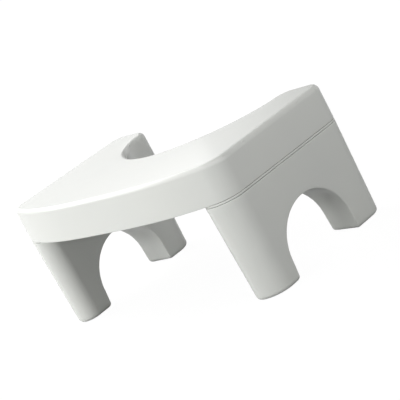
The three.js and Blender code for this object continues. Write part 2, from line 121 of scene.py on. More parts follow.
def notch_curve():
    """Right half of the notch, from the horn's tip to its deepest point: a wide superellipse."""
    turn = np.linspace(QUARTER, 0, NOTCH_STEPS + 1)
    x = (HALF_WIDTH - HORN_WIDTH) * np.sin(turn) ** (2 / NOTCH_WIDTH_EXPONENT)
    rise = 1 - np.cos(turn).clip(0) ** (2 / NOTCH_DEPTH_EXPONENT)
    return np.stack([x, HALF_DEPTH - NOTCH_DEPTH + (NOTCH_DEPTH - NOTCH_TIP_RADIUS) * rise], -1)


def lengths(line):
    """The length of a line of points up to each of them."""
    return np.concatenate([[0], np.cumsum(np.linalg.norm(np.diff(line, axis=0), axis=1))])


def at_shares(line, shares):
    """Points at shares of a line's length."""
    length = lengths(line)
    return np.stack([np.interp(shares * length[-1], length, line[:, axis]) for axis in range(2)], -1)


def evenly(line, step):
    """A line of points dealt out anew at even steps of its length, both ends kept."""
    return at_shares(line, np.linspace(0, 1, round(lengths(line)[-1] / step) + 1))


def cover_outline():
    """The cover's rim as one closed loop: bowed front, round corners, straight ends, horns and notch."""
    corner, touch, slope = front_corner(HALF_WIDTH - FRONT_CORNER_RADIUS, FRONT_CORNER_RADIUS)
    x = np.linspace(0, touch, OUTLINE_STEPS)
    rear = (HALF_WIDTH - REAR_CORNER_RADIUS, HALF_DEPTH - REAR_CORNER_RADIUS)
    tip = (HALF_WIDTH - HORN_WIDTH + NOTCH_TIP_RADIUS, HALF_DEPTH - NOTCH_TIP_RADIUS)
    stretches = [
        np.stack([x, front_edge(x)], -1),
        arc(corner, FRONT_CORNER_RADIUS, slope - QUARTER, 0, OUTLINE_STEPS),
        arc(rear, REAR_CORNER_RADIUS, 0, QUARTER, OUTLINE_STEPS),
        arc(tip, NOTCH_TIP_RADIUS, QUARTER, 2 * QUARTER, OUTLINE_STEPS),
        notch_curve(),
    ]
    half = evenly(np.concatenate(stretches), OUTLINE_STEP)
    return np.concatenate([half, half[-2:0:-1] * [-1, 1]])


def outwards(loop):
    """Unit normals of a counter-clockwise loop, each square to the line between its point's neighbours."""
    along = np.roll(loop, -1, 0) - np.roll(loop, 1, 0)
    across = np.stack([along[:, 1], -along[:, 0]], -1)
    return across / np.linalg.norm(across, axis=1, keepdims=True)


def ring(loop, inset, z):
    """A loop drawn in by inset along its normals, at height z."""
    plan = loop - outwards(loop) * inset
    return np.column_stack([plan, np.broadcast_to(z, len(loop))])


def eased(values, window):
    """Values round a closed loop, each the mean of its neighbours within window steps, taken twice."""
    for _ in range(2):
        values = sum(np.roll(values, shift, 0) for shift in range(-window, window + 1)) / (2 * window + 1)
    return values


def rounded(steps):
    """Sine and cosine of a quarter turn in even steps, for an edge that rolls over."""
    turn = np.linspace(0, QUARTER, steps + 1)
    return zip(np.sin(turn), np.cos(turn))


def softened(profile, radius, steps=4):
    """A line of (across, along) points, its inner corners rounded by quadratic curves that start radius
    before them, or half way along a shorter side."""
    profile = np.array(profile, float)
    share = np.linspace(0, 1, steps + 1)[:, None]
    made = [profile[:1]]
    for before, corner, after in zip(profile, profile[1:], profile[2:]):
        back, on = before - corner, after - corner
        far, near = np.linalg.norm(back), np.linalg.norm(on)
        reach = min(radius, far / 2, near / 2)
        start, end = corner + back * reach / far, corner + on * reach / near
        made.append((1 - share) ** 2 * start + 2 * share * (1 - share) * corner + share**2 * end)
    return np.concatenate(made + [profile[-1:]])


class Shell:
    """Collects grids and flat faces of points, and welds them into one closed mesh with outward faces."""

    def __init__(self):
        self.points, self.faces = [], []

    def add(self, points, faces):
        first = sum(len(p) for p in self.points)
        self.points.append(np.asarray(points, float))
        self.faces += [[first + i for i in face] for face in faces]

    def grid(self, rows, closed=True):
        """Quads between rows of points; closed joins each row's end to its start."""
        rows = np.asarray(rows, float)
        count, width = rows.shape[:2]
        index = np.arange(count * width).reshape(count, width)
        if closed:
            index = np.concatenate([index, index[:, :1]], 1)
        quads = np.stack([index[:-1, :-1], index[:-1, 1:], index[1:, 1:], index[1:, :-1]], -1)
        self.add(rows.reshape(-1, 3), quads.reshape(-1, 4).tolist())

    def flat(self, loop, holes=()):
        """One level face inside a loop, or triangles round the holes in it, whose loops are given."""
        if not holes:
            self.add(loop, [list(range(len(loop)))])
            return
        loops = [loop, *holes]
        rim = [[sum(len(p) for p in loops[:i]) + k for k in range(len(p))] for i, p in enumerate(loops)]
        points = [Vector(p[:2]) for p in np.concatenate(loops)]
        edges = [(a, b) for r in rim for a, b in zip(r, r[1:] + r[:1])]
        made, _, faces, _, _, _ = delaunay_2d_cdt(points, edges, [], 1, 1e-7)
        made = np.array([[p.x, p.y, loop[0][2]] for p in made])
        middles = made[np.array(faces)].mean(1)[:, :2]
        centres = [np.mean(hole, 0)[:2] for hole in holes]
        radii = [np.linalg.norm(hole[0][:2] - centre) for hole, centre in zip(holes, centres)]
        clear = [np.linalg.norm(middles - c, axis=1) > r for c, r in zip(centres, radii)]
        self.add(made, [face for face, keep in zip(faces, np.all(clear, 0)) if keep])

    def capped(self, rows):
        """Rows joined into a closed skin, with one face across the first row and one across the last."""
        self.grid(rows)
        self.flat(rows[0])
        self.flat(rows[-1])

    def build(self, name, mirror=False):
        """Welds what was added, turns the faces outwards and shades them smooth below the crease angle."""
        points = np.concatenate(self.points)
        if mirror:
            points = points * [-1, 1, 1]
        mesh = bpy.data.meshes.new(name)
        mesh.from_pydata(points, [], self.faces)
        work = bmesh.new()
        work.from_mesh(mesh)
        bmesh.ops.remove_doubles(work, verts=work.verts, dist=WELD_REACH)
        bmesh.ops.recalc_face_normals(work, faces=work.faces)
        work.to_mesh(mesh)
        work.free()
        mesh.polygons.foreach_set("use_smooth", np.ones(len(mesh.polygons), bool))
        mesh.set_sharp_from_angle(angle=CREASE_ANGLE)
        piece = bpy.data.objects.new(name, mesh)
        bpy.context.scene.collection.objects.link(piece)
        return piece


def smooth(share):
    """0 to 1 with level ends, from a share that is held between 0 and 1."""
    share = np.clip(share, 0, 1)
    return share * share * (3 - 2 * share)


def horn_shares(loop):
    """The share of the way round its horn at each point of the evenly stepped loop: 0 as far as the notch's
    side, 1 from the straight end on, and even steps between them past the horn's tip."""
    half = len(loop) // 2 + 1
    y = loop[:half, 1]
    end, start = np.argmax(y > HALF_DEPTH - REAR_CORNER_RADIUS), np.flatnonzero(y > HORN_START)[-1]
    share = ((start - np.arange(half)) / (start - end)).clip(0, 1)
    return np.concatenate([share, share[-2:0:-1]])


def horn_ridge(share, border):
    """The line where a horn's crown starts, at each point's share of it: from the border of the edge's roll
    at the notch's side, along the horn's root, round a wide bend and back beside the end."""
    half = len(border) // 2 + 1
    start, end = border[:half][share[:half] == 0][0], border[:half][share[:half] == 1][-1]
    line = softened([start, (HALF_WIDTH - RIDGE_INSET, RIDGE_Y), end], RIDGE_BEND, 24)
    ridge = at_shares(line, share)
    ridge[half:, 0] *= -1
    return np.where(((share == 0) | (share == 1))[:, None], border, ridge)


def edge_roll(loop, normal):
    """How far the rolled edge reaches in, as an arrow at each point of the loop, and how far it drops. Both
    are least along the front and more at the ends, and in the notch they grow towards the horns' tips."""
    front = np.clip(-normal[:, 1], 0, 1) ** 2
    inwards = np.clip(-normal[:, 0] * np.sign(loop[:, 0]), 0, 1)
    in_notch = loop[:, 1] > HALF_DEPTH - NOTCH_DEPTH - GUARD
    notch = np.where(in_notch, np.maximum(inwards, normal[:, 1].clip(0)), 0)
    rearward = np.clip(loop[:, 1] / HALF_DEPTH, 0, 1) ** HORN_EDGE_EXPONENT
    notch_reach = NOTCH_EDGE_ROUND + (HORN_EDGE_REACH - NOTCH_EDGE_ROUND) * rearward
    notch_drop = NOTCH_EDGE_ROUND + (HORN_EDGE_DROP - NOTCH_EDGE_ROUND) * rearward
    elsewhere = END_EDGE_ROUND + (FRONT_EDGE_ROUND - END_EDGE_ROUND) * front
    reach = elsewhere + (notch_reach - END_EDGE_ROUND) * notch
    drop = elsewhere + (notch_drop - END_EDGE_ROUND) * notch
    return eased(normal * reach[:, None], INSET_WINDOW), eased(drop, DROP_WINDOW)


def cover_section(loop):
    """The cover's section from the ceiling down the inner wall, round the rim, up the skirt and over the
    rolled edge, a quarter ellipse. A horn's top falls away from its ridge to the edge by the square of the
    distance."""
    normal = outwards(loop)
    inset, drop = edge_roll(loop, normal)
    rings = [ring(loop, COVER_WALL + SKIRT_DRAFT + COVER_WALL, CEILING)]
    rings.append(ring(loop, COVER_WALL + SKIRT_DRAFT, CEILING - COVER_WALL))
    rings.append(ring(loop, COVER_WALL, RIM + RIM_ROUND))
    rings += [ring(loop, COVER_WALL - RIM_ROUND * (1 - c), RIM + RIM_ROUND * (1 - s)) for s, c in rounded(3)]
    rings += [ring(loop, RIM_ROUND * (1 - s), RIM + RIM_ROUND * (1 - c)) for s, c in rounded(4)]
    leaned_in = loop - normal * SKIRT_DRAFT
    border = leaned_in - inset
    round_horn = horn_shares(loop)
    crown = HORN_CROWN * smooth(round_horn / CROWN_RISE_SHARE) * smooth((1 - round_horn) / CROWN_FALL_SHARE)
    reach = np.linalg.norm(inset, axis=1)
    ridge = horn_ridge(round_horn, border) - inset / reach[:, None] * GUARD
    width = np.linalg.norm(ridge - border, axis=1)
    skirt_low, skirt_high = RIM + RIM_ROUND, TOP - drop - crown * (1 + reach / width) ** 2
    for share in SKIRT_SHARES:
        rings.append(ring(loop, SKIRT_DRAFT * share, skirt_low + (skirt_high - skirt_low) * share))
    for s, c in rounded(EDGE_STEPS):
        fall = crown * (1 + reach * c / width) ** 2
        rings.append(np.column_stack([leaned_in - inset * (1 - c), TOP - drop * (1 - s) - fall]))
    for share in np.linspace(0, 1, CROWN_ROWS + 1)[1:]:
        plan = border + (ridge - border) * share
        rings.append(np.column_stack([plan, TOP - crown * (1 - share) ** 2]))
    return rings


def turned(profile, centre, steps=48, upright=True):
    """Rows of a turned piece: each (radius, along) point of its profile swept round an upright axis through
    centre, or an axis along Y."""
    turn = np.linspace(0, 4 * QUARTER, steps, endpoint=False)
    radius, along = np.array(profile, float).T[:, :, None]
    across, over = radius * np.cos(turn), radius * np.sin(turn)
    along = along + 0 * turn
    rows = np.stack([across, over, along] if upright else [across, along, over], -1)
    return rows + np.array(centre)


def spans(loop, axis, level):
    """The stretches in which the line at level along an axis lies inside a closed loop."""
    ahead = np.roll(loop, -1, 0)
    here, there = loop[:, axis] - level, ahead[:, axis] - level
    hit = (here < 0) != (there < 0)
    share = here[hit] / (here[hit] - there[hit])
    other = 1 - axis
    return np.sort(loop[hit, other] + share * (ahead[hit, other] - loop[hit, other])).reshape(-1, 2)


def add_ribs(shell, loop, axis, levels, root, edge):
    """Straight ribs at levels along an axis, as far as the loop goes, a little thinner at the free edge than
    at the root."""
    half, thin = RIB_THICKNESS / 2, RIB_THICKNESS / 2 * RIB_EDGE_SHARE
    corners = [(0, edge), (thin, edge), (half, root), (-half, root), (-thin, edge), (0, edge)]
    section = softened(corners, RIB_ROUND)[:-1]
    for level in levels:
        for start, end in spans(loop, axis, level):
            rows = []
            for place in (start, end):
                columns = [level + section[:, 0], np.full(len(section), place)]
                rows.append(np.column_stack([columns[axis], columns[1 - axis], section[:, 1]]))
            shell.capped(rows)


class Value:
    """A socket in a tree of shader nodes. Arithmetic on it adds Math nodes."""

    def __init__(self, nodes, socket):
        self.nodes, self.socket = nodes, socket

    def math(self, operation, *values):
        return self.nodes.node("Math", {"operation": operation}, dict(enumerate(values)))

    def __add__(self, other):
        return self.math("ADD", self, other)

    def __sub__(self, other):
        return self.math("SUBTRACT", self, other)

    def __rsub__(self, other):
        return self.math("SUBTRACT", other, self)

    def __mul__(self, other):
        return self.math("MULTIPLY", self, other)


class Nodes:
    """A tree of shader nodes, with short ways to add to it."""

    def __init__(self, tree):
        self.tree = tree

    def put(self, socket, value):
        """Links a value to a socket, or sets the socket to a plain one."""
        if isinstance(value, Value):
            self.tree.links.new(value.socket, socket)
        else:
            socket.default_value = value

    def node(self, kind, settings=None, sockets=None, output=0):
        """Adds a node of a type, with its settings and then the values or links of its sockets."""
        made = self.tree.nodes.new("ShaderNode" + kind)
        for key, value in (settings or {}).items():
            setattr(made, key, value)
        for key, value in (sockets or {}).items():
            self.put(made.inputs[key], value)
        return Value(self, made.outputs[output])

    def ramp(self, value, low, high):
        """0 below low, 1 above high, and even between them."""
        return self.node("MapRange", {"clamp": True}, {"Value": value, "From Min": low, "From Max": high})

    def blend(self, share, first, second):
        """A colour from first to second by share."""
        return self.node("Mix", {"data_type": "RGBA"}, {0: share, 6: first, 7: second}, 2)


class Finish(Nodes):
    """One material: its Principled shader and the nodes that feed it."""

    def __init__(self, name, **constants):
        self.material = bpy.data.materials.new(name)
        self.material.use_nodes = True
        super().__init__(self.material.node_tree)
        self.shader = self.tree.nodes["Principled BSDF"]
        for socket, value in constants.items():
            self.feed(socket, value)

    def feed(self, socket, value):
        """Gives a value to a socket of the Principled shader."""
        self.put(self.shader.inputs[socket], value)

    def place(self, scale=(1, 1, 1)):
        """The point on the piece in metres, stretched by scale."""
        where = self.node("TexCoord", output="Object")
        return self.node("Mapping", {}, {"Vector": where, "Scale": scale})

    def noise(self, where, scale, detail, roughness=0.5):
        """Noise about 0.5 with scale cells to the metre."""
        sockets = {"Vector": where, "Scale": scale, "Detail": detail, "Roughness": roughness}
        return self.node("TexNoise", {}, sockets)

    def bump(self, height, depth):
        """A normal from a height of 0 to 1 that stands for depth metres."""
        self.feed("Normal", self.node("Bump", {}, {"Height": height, "Distance": depth, "Strength": 1.0}))


def moulded_white(name, white, shade, roughness, waviness, handling):
    """Injection-moulded plastic: faint waves in the gloss, fine rubbing from handling, uneven white."""
    finish = Finish(name, IOR=PLASTIC_IOR)
    where = finish.place()
    cloud = finish.noise(where, 9, 2)
    finish.feed("Base Color", finish.blend(finish.ramp(cloud, 0.35, 0.7), white, shade))
    rubbed = finish.ramp(finish.noise(finish.place((1, 9, 9)), 60, 5, 0.7), 0.55, 0.8)
    rubbed_across = finish.ramp(finish.noise(finish.place((9, 1, 9)), 45, 5, 0.7), 0.58, 0.82)
    worn = finish.ramp(finish.noise(where, 14, 4), 0.4, 0.75)
    finish.feed("Roughness", (rubbed + rubbed_across) * worn * handling + cloud * 0.04 + roughness)
    finish.bump(finish.noise(where, 180, 2) * 0.35 + finish.noise(where, 28, 1), waviness)
    return finish.material


RIB_REACH_X, RIB_REACH_Y = HALF_WIDTH - RIB_END_INSET, HALF_DEPTH - RIB_DEPTH_INSET
cover_loop = cover_outline()
cover_shell = Shell()
cover_shell.capped(cover_section(cover_loop))
root = CEILING + ROOT_SINK
inside = ring(cover_loop, COVER_WALL / 2 + SKIRT_DRAFT, CEILING)[:, :2]
cover_columns = [side * share * RIB_REACH_X for share in COVER_COLUMN_SHARES for side in (-1, 1)]
add_ribs(cover_shell, inside, 0, cover_columns, root, CEILING - COVER_RIB_DEPTH)
cover_rows = [share * RIB_REACH_Y for share in COVER_ROW_SHARES]
add_ribs(cover_shell, inside, 1, cover_rows, root, CEILING - COVER_RIB_DEPTH)
PANEL_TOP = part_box("base_panel")[1].z
boss_end = PANEL_TOP + BOSS_GAP
boss = [(0, root), (BOSS_RADIUS, root), (BOSS_RADIUS, boss_end), (BOSS_HOLE_RADIUS, boss_end)]
boss += [(BOSS_HOLE_RADIUS, boss_end + BOSS_HOLE_DEPTH), (0, boss_end + BOSS_HOLE_DEPTH)]
for index in range(1, PANEL_SCREWS + 1):
    low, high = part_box(f"panel_screw_{index}")
    cover_shell.grid(turned(boss, ((low.x + high.x) / 2, (low.y + high.y) / 2, 0), 32))
cover = cover_shell.build("cover_moulding")
COVER_WHITE = (0.828, 0.842, 0.8, 1)
COVER_SHADE = (0.808, 0.824, 0.788, 1)
cover_gloss = moulded_white(
    "cover_gloss", COVER_WHITE, COVER_SHADE, roughness=0.16, waviness=0.06 * MM, handling=0.1
)
cover.data.materials.append(cover_gloss)
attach(cover, "stool")
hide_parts("top_cover")


# Base panel
# A satin white moulding let into the cover from below and screwed to its bosses. A flange runs round its edge
# and a grid of ribs stiffens it. Eight ears carry the hinge pins, and four round stops meet the folded legs.

PANEL_THICKNESS = 2.4 * MM
PANEL_UNDER = PANEL_TOP - PANEL_THICKNESS
PANEL_PLAY = 0.3 * MM
PANEL_INSET = COVER_WALL + PANEL_PLAY
PANEL_FLANGE = 2.2 * MM
PANEL_BORDER, PANEL_ROUND = 4 * MM, 0.5 * MM
PANEL_RIB_RISE = 0.4 * MM
RIB_COLUMNS, RIB_ROWS = 5, 2
KNUCKLE_RADIUS = 5 * MM
KNUCKLE_WIDTH, EAR_WIDTH, HINGE_SIDE_GAP = 16 * MM, 6 * MM, 0.4 * MM
PIN_HOLE_RADIUS, PIN_END_REACH = 2.3 * MM, 0.5 * MM
LUG_EDGE_ROUND, LUG_STEPS = 0.4 * MM, 48
STOP_RADIUS, STOP_SPLAY, STOP_ROUND, STOP_GAP = 4 * MM, 1 * MM, 0.8 * MM, 0.4 * MM
NEAR_STOP_ABOVE_ARCH, FAR_STOP_FROM_FLOOR = 14.5 * MM, 27.8 * MM
ARCH_MIDDLE, ARCH_RADIUS, ARCH_SPRING = 8.7 * MM, 58 * MM, 23.3 * MM
SEAM = 0.4 * MM
INNER_DRAFT = 3.2 * MM
cap_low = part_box("right_leg_cap")[0]
LEG_TOP, LEG_INNER_X = cap_low.z - SEAM, cap_low.x


def hinge_places(side):
    """The two pins of one leg: x, the middle of the knuckle along Y, and z, from the pins' boxes."""
    places = []
    for end in ("front", "rear"):
        low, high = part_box(f"{side}_{end}_hinge_pin")
        joint_middle = high.y - (KNUCKLE_WIDTH / 2 + HINGE_SIDE_GAP + EAR_WIDTH + PIN_END_REACH)
        places.append(((low.x + high.x) / 2, joint_middle, (low.z + high.z) / 2))
    return places


def add_lug(shell, place, width, box):
    """A lug bored for a hinge pin, in polar form about the pin: a round of the knuckle's radius joined with a
    box, given as its reach to either side and below and above. It is carried along the pin for its width."""
    corners = [math.atan2(z, x) % (4 * QUARTER) for x in box[:2] for z in box[2:]]
    even = np.linspace(0, 4 * QUARTER, LUG_STEPS, endpoint=False)
    turn = np.unique(np.round(np.concatenate([even, corners]), 6))
    cosine, sine = np.cos(turn), np.sin(turn)
    beside = np.where(cosine > 0, box[1], -box[0]) / np.abs(cosine).clip(1e-9)
    above = np.where(sine > 0, box[3], -box[2]) / np.abs(sine).clip(1e-9)
    radius = np.maximum(KNUCKLE_RADIUS, np.minimum(beside, above))
    half, edge, hole = width / 2, LUG_EDGE_ROUND, np.full(len(turn), PIN_HOLE_RADIUS)
    rows = [(hole, half - edge), (hole + edge, half), (radius - edge, half), (radius, half - edge)]
    rows += [(r, -y) for r, y in reversed(rows)]
    rows.append(rows[0])
    x, y, z = place
    skin = [np.column_stack([x + r * cosine, y + a + 0 * turn, z + r * sine]) for r, a in rows]
    shell.grid(skin)


panel_shell = Shell()
edge = PANEL_INSET + PANEL_FLANGE
profile = [(edge + PANEL_BORDER, PANEL_UNDER), (edge, PANEL_UNDER), (edge, RIM), (PANEL_INSET, RIM)]
profile += [(PANEL_INSET, PANEL_TOP), (PANEL_INSET + PANEL_BORDER, PANEL_TOP)]
panel_shell.capped([ring(cover_loop, inset, z) for inset, z in softened(profile, PANEL_ROUND)])
rib_loop = ring(cover_loop, PANEL_INSET + PANEL_FLANGE / 2, RIM)[:, :2]
pitch_x, pitch_y = RIB_REACH_X / RIB_COLUMNS, RIB_REACH_Y / RIB_ROWS
rib_root, rib_edge = PANEL_TOP - PANEL_THICKNESS / 2, RIM + PANEL_RIB_RISE
panel_columns = [side * (i + 0.5) * pitch_x for i in range(RIB_COLUMNS + 1) for side in (-1, 1)]
add_ribs(panel_shell, rib_loop, 0, panel_columns, rib_root, rib_edge)
panel_rows = [side * (i + 0.5) * pitch_y for i in range(RIB_ROWS + 1) for side in (-1, 1)]
add_ribs(panel_shell, rib_loop, 1, panel_rows, rib_root, rib_edge)
ear_offset = (KNUCKLE_WIDTH + EAR_WIDTH) / 2 + HINGE_SIDE_GAP
for side in ("right", "left"):
    for x, y, z in hinge_places(side):
        for offset in (-ear_offset, ear_offset):
            box = (-KNUCKLE_RADIUS, KNUCKLE_RADIUS, 0, rib_root - z)
            add_lug(panel_shell, (x, y + offset, z), EAR_WIDTH, box)
hinge_x, front_hinge_y, hinge_z = hinge_places("right")[0]
near_reach = hinge_z - (ARCH_SPRING + ARCH_RADIUS + NEAR_STOP_ABOVE_ARCH)
far_reach = hinge_z - FAR_STOP_FROM_FLOOR
for reach, y in ((near_reach, ARCH_MIDDLE), (far_reach, front_hinge_y)):
    folded_wall = hinge_z - (LEG_INNER_X - hinge_x) - INNER_DRAFT / LEG_TOP * (reach - STOP_RADIUS)
    end = folded_wall + STOP_GAP
    stop = [(0, end), (STOP_RADIUS, end), (STOP_RADIUS, PANEL_UNDER)]
    stop += [(STOP_RADIUS + STOP_SPLAY, rib_root), (0, rib_root)]
    for sign in (-1, 1):
        rows = turned(softened(stop, STOP_ROUND), (sign * (hinge_x - reach), y, 0))
        panel_shell.grid(rows)
panel = panel_shell.build("panel_moulding")


def moulded_satin():
    """The unseen side of a moulding: a fine even texture from the tool, with faint flow clouds."""
    finish = Finish("panel_satin", IOR=PLASTIC_IOR)
    where = finish.place()
    cloud = finish.noise(where, 16, 3)
    paler, darker = (0.79, 0.8, 0.775, 1), (0.755, 0.765, 0.745, 1)
    finish.feed("Base Color", finish.blend(finish.ramp(cloud, 0.3, 0.7), paler, darker))
    grain = finish.noise(where, 2600, 2, 0.6)
    finish.feed("Roughness", cloud * 0.12 + grain * 0.1 + 0.34)
    finish.bump(grain, 0.03 * MM)
    return finish.material


panel.data.materials.append(moulded_satin())
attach(panel, "stool")
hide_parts("base_panel")


# Legs
# Two glossy hollow mouldings, left and right. Each follows the cover's end in plan, leans in a little towards
# the floor and is cut through by a round-topped arch, so that it stands on a front and a rear foot. Two
# knuckles on its inner face turn on the hinge pins.

SIDES = (("right", False), ("left", True))
LEG_THICKNESS = HALF_WIDTH - LEG_INNER_X
LEG_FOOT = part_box("right_leg_shell")[0].z
FRONT_INNER_RADIUS = 20 * MM
REAR_INNER_RADIUS = 28 * MM
OUTER_DRAFT, FRONT_DRAFT, REAR_DRAFT = 1.9 * MM, 5 * MM, 0.8 * MM
ARCH_INNER_WIDENING = 2.4 * MM
ARCH_FLARE = 1.7 * MM
ARCH_EDGE_ROUND, ARCH_EDGE_STEPS = 1.3 * MM, 5
ARCH_CROWN_START = math.radians(38)
LEG_EDGE_ROUND = 0.8 * MM
FOOT_ROUND = 5 * MM
FOOT_TOP = LEG_FOOT + FOOT_ROUND
SOLE_SHARES = (0.1, 0.5, 0.95, 1)
COLUMN_ROWS, CROWN_STEPS, WALL_ROWS = 20, 56, 4
GUARD_SHARE = 0.02
KNUCKLE_SINK = 1.5 * MM
PAD_PLAY = 0.3 * MM
PAD_SQUARENESS = 4.6


def guarded(count):
    """Shares from 0 to 1 in even steps, and one more near each end, which keeps a flat stretch flat."""
    return np.concatenate([[0, GUARD_SHARE], np.linspace(0, 1, count + 1)[1:-1], [1 - GUARD_SHARE, 1]])


inner_corner, inner_touch, inner_slope = front_corner(LEG_INNER_X + FRONT_INNER_RADIUS, FRONT_INNER_RADIUS)
outer_corner, outer_touch, outer_slope = front_corner(HALF_WIDTH - FRONT_CORNER_RADIUS, FRONT_CORNER_RADIUS)
LEG_FRONT = front_edge(inner_touch)


def leaned(plan, z):
    """Each side leans in by its own draft, from nothing at the leg's top to the whole draft at the floor."""
    across = (plan[..., 0] - LEG_INNER_X) / LEG_THICKNESS
    along = (plan[..., 1] - LEG_FRONT) / (HALF_DEPTH - LEG_FRONT)
    share = 1 - z / LEG_TOP
    x = plan[..., 0] + share * (INNER_DRAFT * (1 - across) - OUTER_DRAFT * across)
    y = plan[..., 1] + share * (FRONT_DRAFT * (1 - along) - REAR_DRAFT * along)
    return np.stack([x, y, np.broadcast_to(z, x.shape)], -1)


def front_plan(inset):
    """The leg's front in plan, from its outer wall round the bow to its inner wall, drawn in by inset."""
    outer = arc(outer_corner, FRONT_CORNER_RADIUS - inset, 0, outer_slope - QUARTER, 24)
    x, slope = np.linspace([outer_touch, outer_slope], [inner_touch, inner_slope], 6).T
    bow = np.stack([x - inset * np.sin(slope), front_edge(x) + inset * np.cos(slope)], -1)
    inner = arc(inner_corner, FRONT_INNER_RADIUS - inset, inner_slope - QUARTER, -2 * QUARTER, 16)
    return np.concatenate([outer, bow[1:-1], inner])


def rear_plan(inset):
    """The leg's rear in plan, from its outer wall round two corners to its inner wall, drawn in by inset."""
    outer = (HALF_WIDTH - REAR_CORNER_RADIUS, HALF_DEPTH - REAR_CORNER_RADIUS)
    inner = (LEG_INNER_X + REAR_INNER_RADIUS, HALF_DEPTH - REAR_INNER_RADIUS)
    outer_arc = arc(outer, REAR_CORNER_RADIUS - inset, 0, QUARTER, 20)
    inner_arc = arc(inner, REAR_INNER_RADIUS - inset, QUARTER, 2 * QUARTER, 20)
    return np.concatenate([outer_arc, inner_arc])


def arch_curve(radius, foot):
    """The arch in the plane along Y and Z: up a side that flares to the floor, over the crown and down again.
    The columns' rows reach a little way up the crown, and the crown's own steps take the rest."""
    rise = ARCH_SPRING - foot
    reach = np.linspace(0, rise + radius * ARCH_CROWN_START, COLUMN_ROWS + 1)
    turn = np.clip((reach - rise) / radius, 0, None)
    z = np.where(reach < rise, foot + reach, ARCH_SPRING + radius * np.sin(turn))
    y = radius * np.cos(turn) + ARCH_FLARE * np.clip(ARCH_SPRING - z, 0, None) / ARCH_SPRING
    crown = np.linspace(ARCH_CROWN_START, 2 * QUARTER - ARCH_CROWN_START, CROWN_STEPS + 1)[1:-1]
    crown_y, crown_z = radius * np.cos(crown), ARCH_SPRING + radius * np.sin(crown)
    outline_y = np.concatenate([-y, -crown_y, y[::-1]])
    return np.stack([ARCH_MIDDLE + outline_y, np.concatenate([z, crown_z, z[::-1]])], -1)


def wall_x(side, z):
    """The x of the flat outer or inner wall at height z."""
    share = 1 - z / LEG_TOP
    return HALF_WIDTH - OUTER_DRAFT * share if side == "outer" else LEG_INNER_X + INNER_DRAFT * share


def arch_edge(side, foot):
    """Rows from the wall over the arch's rounded edge into the tunnel. At the feet the edge lies level."""
    curve = arch_curve(ARCH_RADIUS if side == "outer" else ARCH_RADIUS + ARCH_INNER_WIDENING, foot)
    along = np.gradient(curve, axis=0)
    away = np.stack([-along[:, 1], along[:, 0]], -1)
    away[[0, -1]] = [[-1, 0], [1, 0]]
    away /= np.linalg.norm(away, axis=1, keepdims=True)
    into = -1 if side == "outer" else 1
    rows = []
    for s, c in rounded(ARCH_EDGE_STEPS):
        yz = curve + away * ARCH_EDGE_ROUND * (1 - s)
        x = wall_x(side, yz[:, 1]) + into * ARCH_EDGE_ROUND * (1 - c)
        rows.append(np.column_stack([x, yz]))
    return rows


def side_wall(side, foot):
    """The flat wall round the arch, from the columns' edges and the leg's top to the arch's rounded edge."""
    pick = 0 if side == "outer" else -1
    z = foot + (LEG_TOP - LEG_EDGE_ROUND - foot) * guarded(COLUMN_ROWS - 2)
    up = leaned(np.broadcast_to(front_plan(0)[pick], (len(z), 2)), z)
    down = leaned(np.broadcast_to(rear_plan(0)[pick], (len(z), 2)), z)[::-1]
    over = up[-1] + np.linspace(0, 1, CROWN_STEPS + 1)[1:-1, None] * (down[0] - up[-1])
    border = np.concatenate([up, over, down])
    edge = arch_edge(side, foot)[0]
    return [border + share * (edge - border) for share in guarded(WALL_ROWS)]


def foot_loop(end, z, inset):
    """The closed outline of one foot at height z: its round outer face, two walls and the side of the arch,
    all drawn in by inset. Its corners at the arch keep their rounding."""
    plan = leaned(front_plan(inset) if end == "front" else rear_plan(inset), z)[:, :2]
    way = 1 if end == "front" else -1
    corners = []
    for side, widening, into in (("outer", 0, -1), ("inner", ARCH_INNER_WIDENING, 1)):
        flare = ARCH_FLARE * (ARCH_SPRING - z) / ARCH_SPRING
        y = ARCH_MIDDLE - way * (ARCH_RADIUS + widening + flare + inset)
        x = wall_x(side, z) + into * inset
        steps = [(into * (1 - c), -way * (1 - s)) for s, c in rounded(ARCH_EDGE_STEPS)]
        corners.append(np.array([x, y]) + ARCH_EDGE_ROUND * np.array(steps))
    outer, inner = corners[0], corners[1][::-1]
    between = guarded(WALL_ROWS)[1:-1, None]
    outer_wall = plan[0] + between * (outer[0] - plan[0])
    tunnel = outer[-1] + between * (inner[0] - outer[-1])
    inner_wall = inner[-1] + between * (plan[-1] - inner[-1])
    loop = np.concatenate([outer_wall, outer, tunnel, inner, inner_wall, plan[::-1]])
    return np.column_stack([loop, np.full(len(loop), z)])


def pad_outline(end, play, angles):
    """A foot pad's outline, grown by play: a superellipse about the pad's middle, at the given angles."""
    low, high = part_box(f"right_{end}_foot_pad")
    half = np.array((high - low) / 2)[:2] + play
    cosine, sine = np.cos(angles), np.sin(angles)
    reach = np.abs(cosine / half[0]) ** PAD_SQUARENESS + np.abs(sine / half[1]) ** PAD_SQUARENESS
    radius = reach ** (-1 / PAD_SQUARENESS)
    return np.array((low + high) / 2)[:2] + np.stack([radius * cosine, radius * sine], -1)


def add_foot(shell, end):
    """Rolls a foot's edge under, and leaves a pocket in its flat bottom for the pad."""
    rings = [foot_loop(end, LEG_FOOT + FOOT_ROUND * (1 - s), FOOT_ROUND * (1 - c)) for s, c in rounded(8)]
    low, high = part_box(f"right_{end}_foot_pad")
    sole = rings[-1]
    angles = np.arctan2(sole[:, 1] - (low.y + high.y) / 2, sole[:, 0] - (low.x + high.x) / 2)
    mouth = np.column_stack([pad_outline(end, PAD_PLAY, angles), sole[:, 2]])
    rings += [sole + share * (mouth - sole) for share in SOLE_SHARES]
    rings.append(mouth + [0, 0, high.z - LEG_FOOT + PAD_PLAY])
    shell.grid(rings)
    shell.flat(rings[-1])


